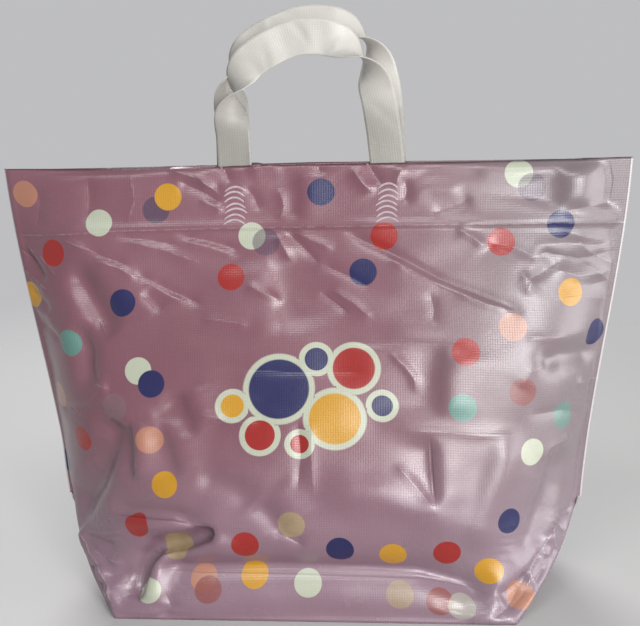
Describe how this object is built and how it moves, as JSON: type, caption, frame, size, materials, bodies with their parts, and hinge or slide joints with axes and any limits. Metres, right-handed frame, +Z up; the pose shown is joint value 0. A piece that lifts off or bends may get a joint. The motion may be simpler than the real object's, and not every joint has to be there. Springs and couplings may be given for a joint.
{
  "type": "plastic carrier bag",
  "caption": "Film carrier bag standing on its opened bottom gusset, with a turned-in hem, welded sides and soft strap handles front and rear.",
  "frame": {"origin": "on the floor, in the middle of the open base", "axes": "+X across the bag's width, +Z up, the front panel faces -Y"},
  "size_m": [0.55, 0.2006, 0.5103],
  "materials": {
    "printed_film": "glossy, finely embossed film with a print of dots",
    "strap_film": "satin, finely embossed film"
  },
  "bodies": {
    "root": {"bag_body": "printed_film", "front_handle": "strap_film", "rear_handle": "strap_film"}
  },
  "joints": []
}
